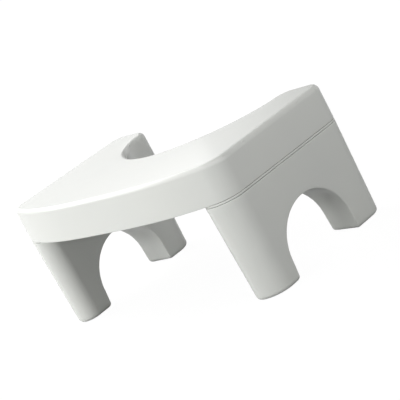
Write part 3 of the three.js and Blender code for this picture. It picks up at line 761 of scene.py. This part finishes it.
def leg_top_loop():
    """The leg's outline at the top, round its front, its outer wall, its rear and its inner wall."""
    front, rear = front_plan(0), rear_plan(0)
    share = np.linspace(0, 1, CROWN_STEPS + 1)[1:-1, None]
    outer = front[0] + share * (rear[0] - front[0])
    inner = rear[-1] + share * (front[-1] - rear[-1])
    return np.concatenate([front[::-1], outer, rear, inner])


def leg_shell(name, mirror):
    """The leg as one closed skin: two walls round the arch, two round columns, the tunnel, feet and top."""
    shell = Shell()
    z_rows = FOOT_TOP + (LEG_TOP - LEG_EDGE_ROUND - FOOT_TOP) * guarded(COLUMN_ROWS - 2)
    for plan in (front_plan(0), rear_plan(0)):
        shell.grid([leaned(plan, z) for z in z_rows], closed=False)
    tunnel_edges = []
    for side in ("outer", "inner"):
        shell.grid(side_wall(side, FOOT_TOP), closed=False)
        rows = arch_edge(side, FOOT_TOP)
        shell.grid(rows, closed=False)
        tunnel_edges.append(rows[-1])
    outer, inner = tunnel_edges
    shell.grid([outer + share * (inner - outer) for share in guarded(WALL_ROWS)], closed=False)
    for end in ("front", "rear"):
        add_foot(shell, end)
    loop = leg_top_loop()
    rows = [leaned(loop, LEG_TOP - LEG_EDGE_ROUND)]
    for s, c in list(rounded(4))[1:]:
        rows.append(ring(loop, LEG_EDGE_ROUND * (1 - c), LEG_TOP - LEG_EDGE_ROUND * (1 - s)))
    rows.append(ring(loop, LEG_EDGE_ROUND + GUARD, LEG_TOP))
    shell.grid(rows)
    shell.flat(rows[-1])
    for x, y, z in hinge_places("right"):
        web = LEG_INNER_X + KNUCKLE_SINK - x
        add_lug(shell, (x, y, z), KNUCKLE_WIDTH, (0, web, -KNUCKLE_RADIUS, LEG_TOP - z))
    return shell.build(name, mirror=mirror)


LEG_WHITE = (0.823, 0.838, 0.795, 1)
LEG_SHADE = (0.803, 0.82, 0.784, 1)
leg_gloss = moulded_white(
    "leg_gloss", LEG_WHITE, LEG_SHADE, roughness=0.19, waviness=0.07 * MM, handling=0.08
)
for side, mirror in SIDES:
    leg = leg_shell(f"{side}_leg_moulding", mirror)
    leg.data.materials.append(leg_gloss)
    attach(leg, f"{side}_leg")
    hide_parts(f"{side}_leg_shell")


# Leg caps
# A plate of the same white plastic closes each leg's open top. Its edge is the thin strip between the two
# seams. Two lugs on it snap between the panel's ribs when the leg stands, and four screws hold it down.

CAP_EDGE_ROUND, CAP_BORDER = 0.9 * MM, 3 * MM
SNAP_RADIUS, SNAP_HEIGHT, SNAP_SINK, SNAP_ROUND = 2.6 * MM, 3.6 * MM, 0.5 * MM, 0.7 * MM
SNAP_SHARES = (-0.5, 0.5)
CAP_SCREWS = 4
COUNTERSINK_RADIUS, COUNTERSINK_DEPTH = 3.55 * MM, 2.05 * MM


def cap_plate(side, mirror):
    """The leg's outline carried up by the cap's thickness, with round edges, snap lugs and countersinks."""
    shell = Shell()
    loop = leg_top_loop()
    low, high = cap_low.z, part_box(f"{side}_cap_screw_1")[1].z
    profile = softened([(CAP_BORDER, low), (0, low), (0, high), (CAP_BORDER, high)], CAP_EDGE_ROUND)
    section = [ring(loop, inset, z) for inset, z in profile]
    shell.grid(section)
    shell.flat(section[0])
    sink = [(COUNTERSINK_RADIUS, 0), (BOSS_HOLE_RADIUS, -COUNTERSINK_DEPTH), (BOSS_HOLE_RADIUS, low - high)]
    holes = []
    for index in range(1, CAP_SCREWS + 1):
        screw_low, screw_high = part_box(f"{side}_cap_screw_{index}")
        centre = (abs(screw_low.x + screw_high.x) / 2, (screw_low.y + screw_high.y) / 2, high)
        rows = turned(sink, centre, 32)
        shell.grid(rows)
        shell.flat(rows[-1])
        holes.append(rows[0])
    shell.flat(section[-1], holes)
    snap = [(0, -SNAP_SINK), (SNAP_RADIUS, -SNAP_SINK), (SNAP_RADIUS, SNAP_HEIGHT), (0, SNAP_HEIGHT)]
    for share in SNAP_SHARES:
        centre = (RIB_REACH_X, share * RIB_REACH_Y, high)
        shell.grid(turned(softened(snap, SNAP_ROUND), centre, 32))
    return shell.build(f"{side}_cap_plate", mirror=mirror)


cap_gloss = moulded_white(
    "cap_gloss", COVER_WHITE, COVER_SHADE, roughness=0.22, waviness=0.05 * MM, handling=0.05
)
for side, mirror in SIDES:
    cap = cap_plate(side, mirror)
    cap.data.materials.append(cap_gloss)
    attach(cap, f"{side}_leg")
    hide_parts(f"{side}_leg_cap")


# Foot pads
# Four pads of soft grey rubber, pressed into pockets in the feet, on which the stool stands without slipping.

PAD_EDGE_ROUND, PAD_BORDER, PAD_STEPS = 0.6 * MM, 4 * MM, 96


def rubber():
    """Soft rubber: fine grain, dull, a little lighter where it has rubbed on the floor."""
    finish = Finish("pad_rubber", IOR=1.5)
    where = finish.place()
    rubbed = finish.ramp(finish.noise(where, 120, 4), 0.4, 0.7)
    finish.feed("Base Color", finish.blend(rubbed, (0.36, 0.37, 0.365, 1), (0.42, 0.43, 0.42, 1)))
    grain = finish.noise(where, 1800, 3, 0.6)
    finish.feed("Roughness", grain * 0.15 + 0.72)
    finish.bump(grain, 0.05 * MM)
    return finish.material


pad_rubber = rubber()
for side, mirror in SIDES:
    for end in ("front", "rear"):
        low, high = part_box(f"{side}_{end}_foot_pad")
        loop = pad_outline(end, 0, np.linspace(0, 4 * QUARTER, PAD_STEPS, endpoint=False))
        profile = [(PAD_BORDER, low.z), (0, low.z), (0, high.z), (PAD_BORDER, high.z)]
        pad_shell = Shell()
        pad_shell.capped([ring(loop, inset, z) for inset, z in softened(profile, PAD_EDGE_ROUND)])
        pad = pad_shell.build(f"{side}_{end}_pad", mirror=mirror)
        pad.data.materials.append(pad_rubber)
        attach(pad, f"{side}_leg")
        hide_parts(f"{side}_{end}_foot_pad")


# Hinge pins
# Four turned steel pins, each through two ears of the panel and one knuckle of a leg, with its head in front.

PIN_RADIUS, PIN_HEAD_RADIUS, PIN_HEAD_THICKNESS = 2 * MM, 3.2 * MM, 1.5 * MM
PIN_EDGE_ROUND, PIN_STEPS = 0.5 * MM, 40


def turned_steel(name, colour, shade, roughness, lines):
    """Bright steel with fine marks from the lathe: noise that is squeezed by lines, most along the axis."""
    finish = Finish(name, Metallic=1.0)
    marks = finish.noise(finish.place(lines), 1, 3, 0.6)
    cloud = finish.noise(finish.place(), 260, 3)
    finish.feed("Base Color", finish.blend(cloud, colour, shade))
    finish.feed("Roughness", marks * 0.16 + cloud * 0.08 + roughness)
    finish.bump(marks, 0.01 * MM)
    return finish.material


PIN_STEEL, PIN_STEEL_SHADE = (0.62, 0.63, 0.65, 1), (0.54, 0.55, 0.57, 1)
pin_steel = turned_steel("pin_steel", PIN_STEEL, PIN_STEEL_SHADE, roughness=0.2, lines=(60, 5200, 60))
for side in ("right", "left"):
    for end, (x, y, z) in zip(("front", "rear"), hinge_places(side)):
        low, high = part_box(f"{side}_{end}_hinge_pin")
        seat = low.y - y + PIN_HEAD_THICKNESS
        profile = [(0, low.y - y), (PIN_HEAD_RADIUS, low.y - y), (PIN_HEAD_RADIUS, seat), (PIN_RADIUS, seat)]
        profile += [(PIN_RADIUS, high.y - y), (0, high.y - y)]
        rows = turned(softened(profile, PIN_EDGE_ROUND), (x, y, z), PIN_STEPS, upright=False)
        pin_shell = Shell()
        pin_shell.grid(rows)
        pin = pin_shell.build(f"{side}_{end}_pin")
        pin.data.materials.append(pin_steel)
        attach(pin, "stool")
        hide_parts(f"{side}_{end}_hinge_pin")


# Screws
# Zinc-plated steel screws with a cross recess: eight with pan heads hold the panel up to the cover's bosses,
# and four with flat heads, flush in their countersinks, hold each cap to its leg.

SCREW_LENGTH, SCREW_RADIUS, SCREW_CORE = 12 * MM, 1.5 * MM, 1.15 * MM
SCREW_PITCH, SCREW_POINT, POINT_SHARE, THREAD_END_SHARE = 1.1 * MM, 1.5 * MM, 0.3, 0.2
SCREW_STEPS, SHANK_ROWS, FACE_ROWS = 48, 72, 30
RECESS_REACH, RECESS_HALF_WIDTH, RECESS_DEPTH = 1.7 * MM, 0.32 * MM, 1.2 * MM
RECESS_SIDE_RUN, RECESS_END_RUN = 0.12 * MM, 0.9 * MM
PAN_HEAD_RADIUS, PAN_HEAD_HEIGHT, PAN_RIM_ROUND = 3.6 * MM, 2.2 * MM, 0.2 * MM
FLAT_HEAD_RADIUS, FLAT_HEAD_DEPTH = 3.2 * MM, 1.7 * MM


def screw_rows(length, head, face, under):
    """A screw about the Z axis with its point down, as rows round the axis. The thread is a triangle wave
    that climbs one pitch a turn. The head's face is sunk in a cross whose walls slope to its floor."""
    turn = np.linspace(0, 4 * QUARTER, SCREW_STEPS, endpoint=False)
    cosine, sine = np.cos(turn), np.sin(turn)
    z = np.linspace(-length, 0, SHANK_ROWS + 1)[:, None]
    wave = np.abs((z / SCREW_PITCH - turn / (4 * QUARTER)) % 1 * 2 - 1)
    ends = np.clip((z + length) / SCREW_POINT, 0, 1) * np.clip(-z / SCREW_PITCH - THREAD_END_SHARE, 0, 1)
    core = SCREW_CORE * np.clip((z + length) / SCREW_POINT, POINT_SHARE, 1)
    shank = core + (SCREW_RADIUS - SCREW_CORE) * wave**2 * ends
    outline = [*zip(shank, z), *under]
    rows = [np.stack([r * cosine, r * sine, h + 0 * turn], -1) for r, h in outline]
    rows.insert(0, rows[0] * [0, 0, 1])
    for r in np.linspace(head, 0, FACE_ROWS):
        x, y = r * cosine, r * sine
        near, far = np.minimum(np.abs(x), np.abs(y)), np.maximum(np.abs(x), np.abs(y))
        sides = np.clip((RECESS_HALF_WIDTH - near) / RECESS_SIDE_RUN + 0.5, 0, 1)
        reach = np.clip((RECESS_REACH - far) / RECESS_END_RUN, 0, 1)
        rows.append(np.stack([x, y, face(r) - RECESS_DEPTH * sides * reach], -1))
    return np.array(rows)


def pan_face(r):
    """A pan head's face: flat in the middle, and rounded off to half its height at the rim."""
    return PAN_HEAD_HEIGHT * (1 + (1 - (r / PAN_HEAD_RADIUS) ** 4) ** 0.5) / 2


SCREW_ZINC, SCREW_ZINC_SHADE = (0.66, 0.67, 0.68, 1), (0.56, 0.57, 0.6, 1)
screw_zinc = turned_steel("screw_zinc", SCREW_ZINC, SCREW_ZINC_SHADE, roughness=0.24, lines=(900, 900, 4200))


def add_screw(node, body, rows):
    """Builds one screw from its rows, in place of its node."""
    screw_shell = Shell()
    screw_shell.grid(rows)
    screw = screw_shell.build(f"{node}_fine")
    screw.data.materials.append(screw_zinc)
    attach(screw, body)
    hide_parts(node)


pan_under = [(PAN_HEAD_RADIUS - PAN_RIM_ROUND, 0), (PAN_HEAD_RADIUS, PAN_RIM_ROUND)]
pan_screw = screw_rows(SCREW_LENGTH, PAN_HEAD_RADIUS, pan_face, pan_under) * [1, 1, -1]
for index in range(1, PANEL_SCREWS + 1):
    low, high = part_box(f"panel_screw_{index}")
    seat = np.array([(low.x + high.x) / 2, (low.y + high.y) / 2, high.z - SCREW_LENGTH])
    add_screw(f"panel_screw_{index}", "stool", pan_screw + seat)
flat_under = [(SCREW_RADIUS, 0), (FLAT_HEAD_RADIUS, FLAT_HEAD_DEPTH)]
flat_length = SCREW_LENGTH - FLAT_HEAD_DEPTH
flat_screw = screw_rows(flat_length, FLAT_HEAD_RADIUS, lambda r: FLAT_HEAD_DEPTH, flat_under)
for side in ("right", "left"):
    for index in range(1, CAP_SCREWS + 1):
        low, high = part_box(f"{side}_cap_screw_{index}")
        seat = np.array([(low.x + high.x) / 2, (low.y + high.y) / 2, high.z - FLAT_HEAD_DEPTH])
        add_screw(f"{side}_cap_screw_{index}", f"{side}_leg", flat_screw + seat)


# Stage, lamps and camera
# A plain white floor that keeps the stool's shadow, soft studio lamps all round, the strongest at the front
# and the left, and the camera at the photograph's place: right of the front, a little above, and rolled.

FLOOR_REACH = 40.0
corners = [(x * FLOOR_REACH, y * FLOOR_REACH, 0) for x, y in ((-1, -1), (1, -1), (1, 1), (-1, 1))]
floor_mesh = bpy.data.meshes.new("floor")
floor_mesh.from_pydata(corners, [], [(0, 1, 2, 3)])
floor = bpy.data.objects.new("floor", floor_mesh)
bpy.context.scene.collection.objects.link(floor)
floor_finish = Finish("floor_white", Roughness=0.9)
FLOOR_UNSEEN, FLOOR_SEEN = (0.2, 0.2, 0.2, 1), (0.9, 0.9, 0.9, 1)
GLOW_NEAR, GLOW_START, GLOW_FULL, GLOW_STRENGTH = 0.92, 0.5, 1.4, 1.04
WHITE = (1, 1, 1, 1)


def light_path(nodes, kind):
    """1 for the rays of one kind, and 0 for all others."""
    return nodes.node("LightPath", output=f"Is {kind} Ray")


# Far off the floor glows plain white. Near the stool some of the lit floor is left, for the shadow.
mirrored = light_path(floor_finish, "Glossy") + light_path(floor_finish, "Transmission")
looked_at = light_path(floor_finish, "Camera")
seen = floor_finish.ramp(looked_at + mirrored, 0, 1)
floor_finish.feed("Base Color", floor_finish.blend(seen, FLOOR_UNSEEN, FLOOR_SEEN))
where = floor_finish.node("TexCoord", output="Object")
distance = floor_finish.node("VectorMath", {"operation": "LENGTH"}, {0: where}, "Value")
far = floor_finish.ramp(distance, GLOW_START, GLOW_FULL)
glowing = seen * far + looked_at * (1 - far) * GLOW_NEAR
glow = floor_finish.node("Emission", {}, {"Color": WHITE, "Strength": GLOW_STRENGTH})
lit = Value(floor_finish, floor_finish.shader.outputs[0])
white = floor_finish.node("MixShader", {}, {0: glowing, 1: lit, 2: glow})
below = floor_finish.node("NewGeometry", output="Backfacing")
clear = floor_finish.node("BsdfTransparent")
surface = floor_finish.node("MixShader", {}, {0: below, 1: white, 2: clear})
floor_finish.put(floor_finish.tree.nodes["Material Output"].inputs["Surface"], surface)
floor_mesh.materials.append(floor_finish.material)

# The sky is white where it is seen or mirrored, with one dimmer patch, and lights the stool little.
WORLD_STRENGTH = 0.09
DIM_SIDE = (-0.604, 0.773, 0.191)
DIM_START, DIM_FULL, DIM_SHARE = 0.9806, 0.9926, 0.6
world = bpy.data.worlds.new("studio")
bpy.context.scene.world = world
world.use_nodes = True
sky = Nodes(world.node_tree)
background = sky.tree.nodes["Background"]
sky.put(background.inputs["Color"], WHITE)
sky_seen = light_path(sky, "Camera") + light_path(sky, "Glossy") + light_path(sky, "Transmission")
toward = sky.node("TexCoord", output="Generated")
nearness = sky.node("VectorMath", {"operation": "DOT_PRODUCT"}, {0: toward, 1: DIM_SIDE}, "Value")
dimmed = light_path(sky, "Glossy") * sky.ramp(nearness, DIM_START, DIM_FULL) * DIM_SHARE
bright = sky.ramp(sky_seen, 0, 1) * (1 - WORLD_STRENGTH) + WORLD_STRENGTH
sky.put(background.inputs["Strength"], bright * (1 - dimmed))


LAMP_AIM = Vector((0, 0, 0.1))


def bearing(azimuth, elevation):
    """The unit arrow from the stool to a lamp or camera. Azimuth is 0 in front and 90 at the right end."""
    turn, rise = math.radians(azimuth), math.radians(elevation)
    return Vector((math.sin(turn) * math.cos(rise), -math.cos(turn) * math.cos(rise), math.sin(rise)))


def softbox(name, azimuth, elevation, distance, size, power, mirrored=True):
    """A flat square lamp that faces the stool. With mirrored off the gloss shows the sky in its place."""
    back = bearing(azimuth, elevation)
    data = bpy.data.lights.new(name, "AREA")
    data.size = size
    data.energy = power
    lamp = bpy.data.objects.new(name, data)
    lamp.visible_glossy = mirrored
    bpy.context.scene.collection.objects.link(lamp)
    lamp.location = LAMP_AIM + back * distance
    lamp.rotation_mode = "QUATERNION"
    lamp.rotation_quaternion = back.to_track_quat("Z", "Y")


softbox("left_window", -90, 40, 1.6, 1.0, 13)
softbox("front_window", 0, 15, 1.8, 1.2, 18, mirrored=False)
softbox("front_left", -50, 28, 1.6, 1.0, 8)
softbox("left_back", -118, 30, 1.4, 0.7, 1.6)
softbox("front_right", 60, 25, 2.2, 1.4, 2.5)
softbox("right_window", 100, 15, 2.0, 1.4, 8.3)
softbox("right_above", 85, 58, 1.6, 0.8, 3.8)

AZIMUTH, ELEVATION, ROLL = 51.46, 12.81, math.radians(-27.47)
DISTANCE, TARGET = 1.9466, Vector((-0.00603, 0.0399, 0.089))
SENSOR_WIDTH, LENS = 36, 135.38
back = bearing(AZIMUTH, ELEVATION)
level_right = (-back).cross(Vector((0, 0, 1))).normalized()
level_up = level_right.cross(-back).normalized()
right = level_right * math.cos(ROLL) + level_up * math.sin(ROLL)
up = level_up * math.cos(ROLL) - level_right * math.sin(ROLL)
camera_data = bpy.data.cameras.new("camera")
camera_data.sensor_width, camera_data.lens = SENSOR_WIDTH, LENS
camera_data.clip_start, camera_data.clip_end = 0.1, 200
camera = bpy.data.objects.new("camera", camera_data)
bpy.context.scene.collection.objects.link(camera)
facing = Matrix((right, up, back)).transposed().to_4x4()
camera.matrix_world = Matrix.Translation(TARGET + back * DISTANCE) @ facing
bpy.context.scene.camera = camera
bpy.context.scene.view_settings.view_transform = "Standard"
